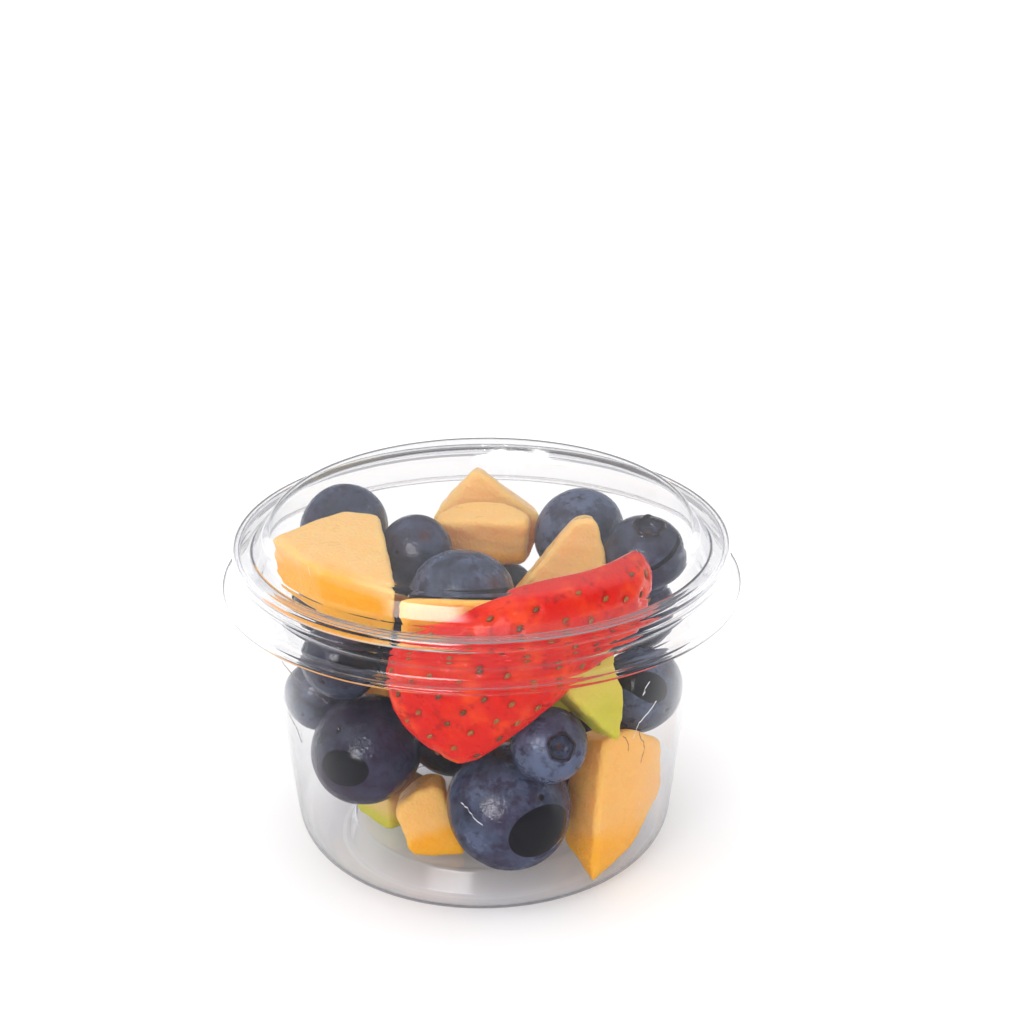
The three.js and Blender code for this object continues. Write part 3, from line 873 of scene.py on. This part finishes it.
def seen_window(tree, way, azimuth, elevation, half_width, half_height, edge):
    """A mask of a soft-edged window in the sky, with its half sizes in degrees."""
    middle = toward(azimuth, elevation)
    turn = math.radians(azimuth)
    right = Vector((math.cos(turn), math.sin(turn), 0))
    ahead = node(tree, "VectorMath", {0: way, 1: middle}, operation="DOT_PRODUCT").outputs["Value"]
    shares = [grouped(tree, STEP, Value=ahead, From=0.5, To=0.6)["Mask"]]
    for axis, half in ((right, half_width), (middle.cross(right), half_height)):
        across = node(tree, "VectorMath", {0: way, 1: axis}, operation="DOT_PRODUCT").outputs["Value"]
        off = node(tree, "Math", {0: across}, operation="ABSOLUTE").outputs[0]
        reach = math.sin(math.radians(half))
        shares.append(grouped(tree, STEP, Value=off, From=reach * (1 + edge), To=reach * (1 - edge))["Mask"])
    return times(tree, times(tree, shares[0], shares[1]), shares[2])


def studio_world():
    """Bright above, greyer to the horizon, with a soft window at the front left and a lamp behind."""
    world = bpy.data.worlds.new("studio")
    bpy.context.scene.world = world
    world.use_nodes = True
    tree = world.node_tree
    tree.nodes.clear()
    way = node(tree, "TexCoord").outputs["Generated"]
    parts = node(tree, "SeparateXYZ", {0: way}).outputs
    above = grouped(tree, STEP, Value=parts["Z"], From=0.30, To=0.75)["Mask"]
    near = grouped(tree, STEP, Value=parts["Y"], From=-0.25, To=-0.80)["Mask"]
    far = grouped(tree, STEP, Value=parts["Y"], From=0.30, To=0.75)["Mask"]
    colour = mixed(tree, near, SKY_SIDE, SKY_NEAR)
    colour = mixed(tree, far, colour, SKY_FAR)
    colour = mixed(tree, above, colour, SKY_TOP)
    sides = grouped(tree, STEP, Value=parts["Y"], From=-0.35, To=0.15)["Mask"]
    dark = mixed(tree, above, MIRRORED_NEAR, MIRRORED_TOP)
    dark = mixed(tree, sides, dark, MIRRORED_SIDES)
    dark = mixed(tree, far, dark, MIRRORED_FAR)
    colour = mixed(tree, mirrored(tree), colour, dark)
    window = seen_window(tree, way, *WINDOW)
    lamp = seen_window(tree, way, *FAR_LAMP)
    shine = scaled(tree, mirrored(tree), 8.0, 5.0)
    shine = node(tree, "CombineXYZ", {"X": shine, "Y": shine, "Z": shine}).outputs[0]
    colour = mixed(tree, window, colour, shine)
    colour = mixed(tree, times(tree, lamp, mirrored(tree)), colour, LAMP_GLOW)
    sky = node(tree, "Background", {"Color": colour, "Strength": 1.0})
    tree.links.new(sky.outputs[0], tree.nodes.new("ShaderNodeOutputWorld").inputs["Surface"])


def soft_sun():
    """A weak wide sun from the front left."""
    lamp = bpy.data.lights.new("soft_sun", "SUN")
    lamp.energy = SUN_ENERGY
    lamp.angle = math.radians(SUN_WIDTH)
    seat = bpy.data.objects.new("soft_sun", lamp)
    way = toward(*SUN_WAY)
    seat.location = way + Vector((0, 0, 0.04))
    seat.rotation_euler = way.to_track_quat("Z", "Y").to_euler()
    seat.visible_camera = False
    bpy.context.scene.collection.objects.link(seat)


camera()
white_floor()
studio_world()
soft_sun()

POT_PLASTIC = clear_plastic("pot_plastic", 0.015)
LID_PLASTIC = clear_plastic("lid_plastic", 0.006)
pot(POT_PLASTIC)
lid(LID_PLASTIC)
# The pale strips' white stands in for glints: a painted highlight.
GLINT_PAINTED_JUICE = crease_coat("juice_with_painted_glint", (0.75, 0.75, 0.78, 1), (1.0, 1.0, 1.0, 1))
DARK_JUICE = crease_coat("dark_juice", (0.03, 0.025, 0.03, 1), (0.20, 0.12, 0.09, 1))
wall_creases("creases_with_painted_glint", GLINT_PAINTED_CREASES, GLINT_PAINTED_JUICE)
wall_creases("dark_creases", DARK_CREASES, DARK_JUICE)

SKIN = blueberry_skin()
ORANGE = melon_flesh(
    "cantaloupe_flesh", pale=(0.90, 0.56, 0.215, 1), ripe=(0.93, 0.46, 0.11, 1), deep=(0.93, 0.40, 0.022, 1),
    cloudy=(0.93, 0.47, 0.10, 1), begins=0.60, ends=0.76,
)
GREEN = melon_flesh(
    "honeydew_flesh", pale=(0.78, 0.52, 0.22, 1), ripe=(0.68, 0.56, 0.10, 1), deep=(0.52, 0.50, 0.045, 1),
    cloudy=(0.74, 0.60, 0.13, 1), begins=0.25, ends=0.85,
)
for number, solid in enumerate(sorted(NODES)):
    if solid.startswith("blueberry"):
        blueberry(solid, number, SKIN)
    elif solid.startswith("cantaloupe"):
        melon_chunk(solid, number, ORANGE, "cantaloupe_flesh")
    elif solid.startswith("honeydew"):
        melon_chunk(solid, number, GREEN, "honeydew_flesh")
strawberry(strawberry_skin(), strawberry_seed_coat())

scene = bpy.context.scene
scene.view_settings.view_transform = "Standard"
scene.cycles.max_bounces = 11
scene.cycles.diffuse_bounces = 2
scene.cycles.glossy_bounces = 3
scene.cycles.transmission_bounces = 11
scene.cycles.transparent_max_bounces = 14
scene.cycles.caustics_reflective = False
scene.cycles.caustics_refractive = False
